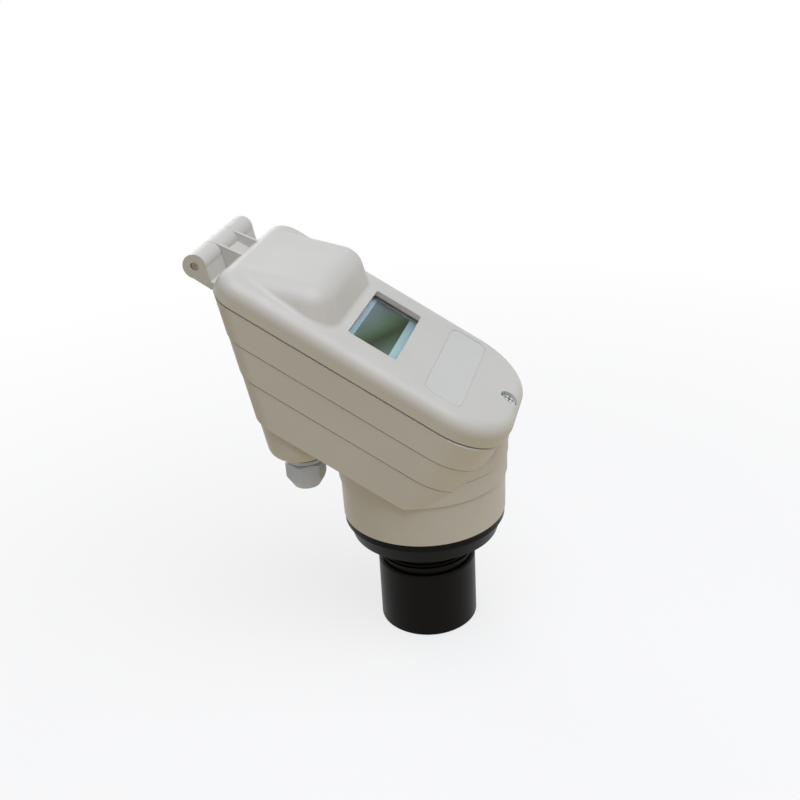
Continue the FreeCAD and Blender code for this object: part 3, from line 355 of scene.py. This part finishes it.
# Almost invisible but for the reflections on it, which waver a little
clear_pc, tree, place = begin_material("moulded polycarbonate, clear")
waver = add(tree, "TexNoise", {"Scale": 1 / (WAVER_WIDTH * MM), "Detail": 3.0}, {"Vector": place})
skin = add(tree, "Bump", {"Strength": 0.05, "Distance": WAVER_DEPTH * MM}, {"Height": waver.outputs["Fac"]})
end_material(tree, {"Normal": skin.outputs["Normal"]}, Base_Color=linear("#FBFDFC"), Roughness=0.03, IOR=1.58,
             Transmission_Weight=1.0)
print("pane:", clear_pc.name, "materials in all:", len(bpy.data.materials))

# %% [markdown]
# ## Dress the solids
# Every solid keeps its shape and only gets its material. The list goes by material, as a bill of materials
# does, so that pieces of one plastic can't drift apart. Curved faces are already shaded smooth up to their
# sharp edges by the normals that came with them.

# %% Give each solid its material
finishes = {
    case_asa: ["housing", "lid"],
    black_pp: ["neck_collar", "transducer_shell"],
    gland_nylon: ["gland_body", "gland_nut", "blanking_plug"],
    panel_abs: ["inner_panel", "board_spacers"],
    frame_pbt: ["display_bezel", "display_backlight"],
    terminal_pa: ["terminal_block"],
    seal_nbr: ["lid_gasket", "neck_seal_ring", "gland_washer", "plug_washer", "gland_seal"],
    key_silicone: ["key_left", "key_middle", "key_right"],
    switch_phenolic: ["key_switches"],
    potting_epoxy: ["transducer_potting"],
    bead_epoxy: ["matching_layer"],
    piezo_ceramic: ["piezo_disc"],
    stainless: ["lid_screw", "panel_screws", "terminal_screws"],
    pin_steel_and_shade: ["hinge_pin"],
    brass: ["lid_screw_insert"],
    lcd: ["display_glass"],
    clear_pc: ["window_pane"],
    board: ["main_board"],
}
for material, names in finishes.items():
    for name in names:
        nodes[name].data.materials.clear()
        nodes[name].data.materials.append(material)
bare = sorted(set(nodes) - {name for names in finishes.values() for name in names})
print("solids without a finish:", bare)

# %% [markdown]
# ## New pieces
# Two threads and a film are new, and so are the floor and a card further down. Each starts as a bmesh, which
# is a mesh that operators can shape. The last steps could be written out for every one of them. They are
# always the same, so one function writes the mesh, gives it its material and links it at the origin.

# %% A function that puts a piece in the scene


def into_scene(name, bm, material):
    """Object at the origin with the bmesh as its mesh and one material."""
    mesh = bpy.data.meshes.new(name)
    bm.to_mesh(mesh)
    bm.free()
    mesh.materials.append(material)
    piece = bpy.data.objects.new(name, mesh)
    bpy.context.scene.collection.objects.link(piece)
    print(name, "faces:", len(mesh.polygons))
    return piece


print("meshes so far:", len(bpy.data.meshes))

# %% [markdown]
# ## Screw threads
# Above its head the transducer carries a two-inch pipe thread, and the lid screw has a fine one. Rings or a
# bump would pass from afar, but a thread is one ridge that climbs as it goes round. So a single cross-section
# is spun about the axis with a small lift at each step, and its two ends are drawn into the shaft, where a
# cut thread runs out. The solids stop at the thread's root, and the ridge stands on them.

# %% A function that spins a thread
# Half widths of the ridge at its foot and at its crest, as shares of the pitch
RIDGE_FOOT = 0.45
RIDGE_CREST = 0.12
# How deep the ridge's foot lies inside the root, so that no gap shows, and how deep its ends run in
FOOT_SUNK = 0.1
END_SUNK = 0.05


def thread(name, material, root, crest, pitch, foot, top, place, steps):
    """Ridge round Z between two heights, moved to its place; steps are counted for one turn."""
    bm = bmesh.new()
    start = foot + RIDGE_FOOT * pitch
    section = [(root - FOOT_SUNK, -RIDGE_FOOT), (crest, -RIDGE_CREST),
               (crest, RIDGE_CREST), (root - FOOT_SUNK, RIDGE_FOOT)]
    corners = [bm.verts.new((radius * MM, 0, (start + share * pitch) * MM)) for radius, share in section]
    face = bm.faces.new(corners)
    turns = (top - foot) / pitch - 2 * RIDGE_FOOT
    count = round(turns * steps)
    spun = bmesh.ops.spin(bm, geom=[face, *face.edges, *face.verts], cent=(0, 0, 0), axis=(0, 0, 1),
                          dvec=(0, 0, turns * pitch * MM / count), angle=turns * 2 * math.pi, steps=count)
    ends = corners + [item for item in spun["geom_last"] if isinstance(item, bmesh.types.BMVert)]
    tips = [corner for corner in ends if corner.co.xy.length > root * MM]
    inwards = (root - END_SUNK) / crest
    bmesh.ops.scale(bm, vec=(inwards, inwards, 1), verts=tips)
    bmesh.ops.recalc_face_normals(bm, faces=bm.faces)
    bmesh.ops.transform(bm, matrix=place, verts=bm.verts)
    print(name, "turns:", round(turns, 2))
    return into_scene(name, bm, material)


print("ridge in shares of a pitch:", 2 * RIDGE_FOOT, "at its foot and", 2 * RIDGE_CREST, "at its crest")

# %% [markdown]
# The pipe thread has eleven turns to the inch and is cut in the same black plastic. It runs from the groove
# above the head to just below the collar. That height could be typed in too, but it is measured on the
# collar's solid, so that the two can't run into each other.

# %% Thread of the transducer
# Radii of the root and the crest, the pitch, and the height of the groove above the head
PIPE_ROOT = 28.4
PIPE_CREST = 29.8
PIPE_PITCH = 25.4 / 11
PIPE_FOOT = 46.7
# Space left below the collar
COLLAR_GAP = 0.2
collar_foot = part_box("neck_collar")[0].z / MM
pipe_thread = thread("transducer_thread", black_pp, PIPE_ROOT, PIPE_CREST, PIPE_PITCH, foot=PIPE_FOOT,
                     top=collar_foot - COLLAR_GAP, place=Matrix(), steps=72)
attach(pipe_thread, "meter")

# %% [markdown]
# The lid screw is an M4 with a pitch of 0.7 mm. Its ridge could be spun about the sloping axis at once. It is
# easier to read when it is spun upright, turned with the slope and moved to the screw's joint. How far down
# the tip lies along that axis is measured on the solid.

# %% Thread of the lid screw
# Radii of the root and the crest, the pitch, and the length that is threaded
SCREW_ROOT = 1.65
SCREW_CREST = 2.0
SCREW_PITCH = 0.7
SCREW_THREAD_LENGTH = 8.0
upright_to_lid = Matrix.Translation(screw_place) @ Matrix.Rotation(lid_slope, 4, "X")
tip = min((vertex.co - screw_place).dot(lid_normal) / MM for vertex in nodes["lid_screw"].data.vertices)
screw_thread = thread("lid_screw_thread", stainless, SCREW_ROOT, SCREW_CREST, SCREW_PITCH, foot=tip,
                      top=tip + SCREW_THREAD_LENGTH, place=upright_to_lid, steps=32)
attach(screw_thread, "lid_screw")

# %% [markdown]
# ## The label film
# Between the window and the screw the lid has a shallow recess with round corners, and a thin film of
# embossed polyester is stuck into it. A scaled cube would be quick but has sharp corners. So a rectangle gets
# round corners from a bevel on its four points, and its thickness from an extrusion. The film is a hair
# smaller than the recess, and that gap draws the thin line round it.

# %% Finish and sizes of the film
# Nearly the shade of the case but cooler and smoother, so the film shows mostly by its outline
film_polyester = moulded("embossed polyester film, light grey", "#D3D1CC", "#CECCC7", grit=1.2,
                         grit_depth=0.02, roughness=0.4, IOR=1.57)
# Edges of the film up the slope from the screw's axis, and height of its underside over the screw's joint
FILM_LOW = 23.9
FILM_HIGH = 46.9
FILM_FOOT = 2.6
FILM_HALF_WIDTH = 42.1
FILM_CORNER = 5.1
FILM_THICK = 0.3
print("film in mm:", 2 * FILM_HALF_WIDTH, "by", round(FILM_HIGH - FILM_LOW, 1), "by", FILM_THICK)

# %% [markdown]
# The film is drawn flat, with its own up and across, and only then turned with the slope and moved to its
# place by the matrix that already served the screw. It could be drawn on the slope at once, but then every
# corner would need the angle.

# %% Shape of the film
bm = bmesh.new()
outline = [(-FILM_HALF_WIDTH, FILM_LOW), (FILM_HALF_WIDTH, FILM_LOW),
           (FILM_HALF_WIDTH, FILM_HIGH), (-FILM_HALF_WIDTH, FILM_HIGH)]
corners = [bm.verts.new((across * MM, up * MM, FILM_FOOT * MM)) for across, up in outline]
bm.faces.new(corners)
bmesh.ops.bevel(bm, geom=corners, offset=FILM_CORNER * MM, affect="VERTICES", segments=10, profile=0.5,
                material=-1)
raised = bmesh.ops.extrude_face_region(bm, geom=bm.faces[:])
upper = [item for item in raised["geom"] if isinstance(item, bmesh.types.BMVert)]
bmesh.ops.translate(bm, vec=(0, 0, FILM_THICK * MM), verts=upper)
bmesh.ops.recalc_face_normals(bm, faces=bm.faces)
bmesh.ops.transform(bm, matrix=upright_to_lid, verts=bm.verts)
film = into_scene("label_film", bm, film_polyester)
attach(film, "lid")

# %% [markdown]
# ## The studio
# The photograph is a cut-out on white. Lamps alone would need a glaring backdrop for that, and it would wash
# the meter out. So the world is plain white for every ray that sees it, directly, in a mirror or through
# glass, and only dim for rays that gather light.

# %% World


def white_for_camera(tree):
    """1 for rays that see the background directly, in a mirror or through glass, and 0 for light."""
    path = add(tree, "LightPath")
    seen = add(tree, "Math", links={0: path.outputs["Is Camera Ray"], 1: path.outputs["Is Glossy Ray"]},
               operation="MAXIMUM")
    return add(tree, "Math", links={0: seen.outputs[0], 1: path.outputs["Is Transmission Ray"]},
               operation="MAXIMUM").outputs[0]


# Strength of the world as a light
AMBIENT = 0.25
world = bpy.data.worlds.new("studio")
bpy.context.scene.world = world
tree = empty_tree(world)
strength = add(tree, "MapRange", {"To Min": AMBIENT, "To Max": 1.0}, {"Value": white_for_camera(tree)})
sky = add(tree, "Background", {"Color": linear("#FFFFFF")}, {"Strength": strength.outputs["Result"]})
add(tree, "OutputWorld", links={"Surface": sky.outputs["Background"]})
print("world strength as a light:", AMBIENT)

# %% [markdown]
# The floor is white paper that keeps the meter's soft shadow. Plain paper would turn grey with distance and
# end in a horizon. So the camera sees a mix of paper and pure white, and further out white alone. As a light
# the floor is warm: what it throws back from below gives the upright sides their beige tone, while the lid
# stays neutral.

# %% Paper of the floor
# Share of pure white close to the meter, where its shadow falls
WHITE_NEAR = 0.75
# Distances from the meter's axis between which the floor turns all white
FADE_START = 250
FADE_END = 700
floor_paper, tree, place = begin_material("white paper floor")
away = add(tree, "VectorMath", links={0: place}, operation="LENGTH")
share = add(tree, "MapRange", {"From Min": FADE_START * MM, "From Max": FADE_END * MM, "To Min": WHITE_NEAR},
            {"Value": away.outputs["Value"]})
paper = add(tree, "BsdfDiffuse", {"Color": linear("#F8F8F8")})
white = add(tree, "Emission", {"Color": linear("#FFFFFF"), "Strength": 1.0})
seen = add(tree, "MixShader", links={0: share.outputs["Result"], 1: paper.outputs[0], 2: white.outputs[0]})
warm = add(tree, "BsdfDiffuse", {"Color": linear("#D6C292")})
mixed = add(tree, "MixShader", links={0: white_for_camera(tree), 1: warm.outputs[0], 2: seen.outputs[0]})
add(tree, "OutputMaterial", links={"Surface": mixed.outputs[0]})
print("floor turns white from", FADE_START, "to", FADE_END, "mm")

# %% [markdown]
# The paper is one square sheet under the transducer's face. It could curve up behind the meter as a studio
# sweep does, but the floor is white by then and so is the world, and the seam between them can't be seen.

# %% Lay the floor
FLOOR_HALF_WIDTH = 6000
bm = bmesh.new()
bmesh.ops.create_grid(bm, x_segments=1, y_segments=1, size=FLOOR_HALF_WIDTH * MM)
floor = into_scene("floor", bm, floor_paper)
floor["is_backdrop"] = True

# %% [markdown]
# One large soft lamp hangs above the meter, a little to the front and to the near side, and lights the lid
# evenly. A small one would be simpler to place, but the window and the screws would mirror it as a glaring
# spot. A weaker lamp behind the far side keeps the back from going dull when the meter is turned round.

# %% Lamps
middle = (cad_box[0] + cad_box[1]) / 2


def soft_lamp(name, place, width, watts, colour):
    """Square lamp that points at the middle of the meter."""
    light = bpy.data.lights.new(name, "AREA")
    light.size = width * MM
    light.energy = watts
    light.color = linear(colour)[:3]
    lamp = bpy.data.objects.new(name, light)
    lamp.location = Vector(place) * MM
    lamp.rotation_euler = (middle - lamp.location).to_track_quat("-Z", "Y").to_euler()
    bpy.context.scene.collection.objects.link(lamp)


soft_lamp("overhead softbox", place=(-260, -330, 1340), width=1300, watts=14.6, colour="#F0F4FF")
soft_lamp("rear softbox", place=(850, 800, 400), width=800, watts=3.6, colour="#FFFFFF")
print("lamps:", [light.name for light in bpy.data.lights])

# %% [markdown]
# ## A glowing card that paints a reflection
# A clear pane mirrors what stands beyond it, and an all-white studio would lay an even haze over the display.
# So a card hangs beyond the far side of the meter and gives off its own light, so that no lamp changes it.
# Its bands of green, dark and pale blue run along Y and are a painted reflection on the pane over the
# display.
# The camera sees it in mirrors only.

# %% Shades of the card
# Values of Y between which the shades change
BAND_Y = (-140, -60)
# Colours of the glowing bands, which the pane shows as a painted reflection over the display
PAINTED_REFLECTION_SHADES = [(0.15, "#A4D0BC"), (0.4, "#1E1C12"), (0.55, "#81AD89"), (0.85, "#C7D9F3")]
painted_reflection_card, tree, place = begin_material("glowing card for a painted reflection")
along = add(tree, "SeparateXYZ", links={"Vector": place})
share = add(tree, "MapRange", {"From Min": BAND_Y[0] * MM, "From Max": BAND_Y[1] * MM},
            {"Value": along.outputs["Y"]})
band = add(tree, "ValToRGB", links={"Fac": share.outputs["Result"]}, stops=PAINTED_REFLECTION_SHADES)
glow = add(tree, "Emission", links={"Color": band.outputs["Color"]})
add(tree, "OutputMaterial", links={"Surface": glow.outputs[0]})
print("band from y =", BAND_Y[0], "to", BAND_Y[1], "mm, shades:", len(PAINTED_REFLECTION_SHADES))

# %% [markdown]
# The card is a single upright face, kept small so that little else than the pane mirrors it. It could simply
# be hidden from the camera, but then it would still cast a shadow and light the meter, so it is hidden from
# those rays as well.

# %% Hang the card
# Where the card hangs along X, and between which values of Y and Z
CARD_X = 500
CARD_Y = (-200, 0)
CARD_Z = (330, 500)
bm = bmesh.new()
outline = [(CARD_Y[0], CARD_Z[0]), (CARD_Y[1], CARD_Z[0]), (CARD_Y[1], CARD_Z[1]), (CARD_Y[0], CARD_Z[1])]
bm.faces.new([bm.verts.new((CARD_X * MM, y * MM, z * MM)) for y, z in outline])
# The card glows though it is no lamp, and the pane mirrors it as a painted reflection
card = into_scene("glowing card for a painted reflection", bm, painted_reflection_card)
card.visible_camera = False
card.visible_diffuse = False
card.visible_shadow = False
card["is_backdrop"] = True

# %% [markdown]
# ## The camera
# The camera's place was found by matching edges of the solids to the photograph. It looks from the near side,
# a little from the front and from above, and is tipped by about three degrees. A camera can be flown by hand
# until it looks right. Here it has a place, a point to look at and a tip, which can be changed one at a time.

# %% Camera
PHOTO_WIDTH = 800
FOCAL_PIXELS = 1127.9
SENSOR_WIDTH = 36.0
CAMERA_PLACE = Vector((-578.7, -141.0, 432.5)) * MM
CAMERA_AIM = Vector((12.91, 15.31, 140.22)) * MM
CAMERA_TIP = math.radians(-3.209)
camera_data = bpy.data.cameras.new("photo camera")
camera_data.sensor_width = SENSOR_WIDTH
camera_data.lens = FOCAL_PIXELS / PHOTO_WIDTH * SENSOR_WIDTH
camera = bpy.data.objects.new("photo camera", camera_data)
looking = (CAMERA_AIM - CAMERA_PLACE).to_track_quat("-Z", "Y").to_matrix().to_4x4()
camera.matrix_world = Matrix.Translation(CAMERA_PLACE) @ looking @ Matrix.Rotation(CAMERA_TIP, 4, "Z")
bpy.context.scene.collection.objects.link(camera)
bpy.context.scene.camera = camera
bpy.context.scene.view_settings.view_transform = "Standard"
print("lens in mm:", round(camera_data.lens, 2))

# %% [markdown]
# ## Last check
# The threads and the film must not make the meter bigger than its solids. A look at the picture would not
# show a hair's breadth, so both boxes are measured and their difference is printed, in millimetres.

# %% Compare the sizes
visual_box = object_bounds()
growth = (visual_box[1] - visual_box[0]) - (cad_box[1] - cad_box[0])
print("grown by in mm:", [round(v / MM, 2) for v in growth])
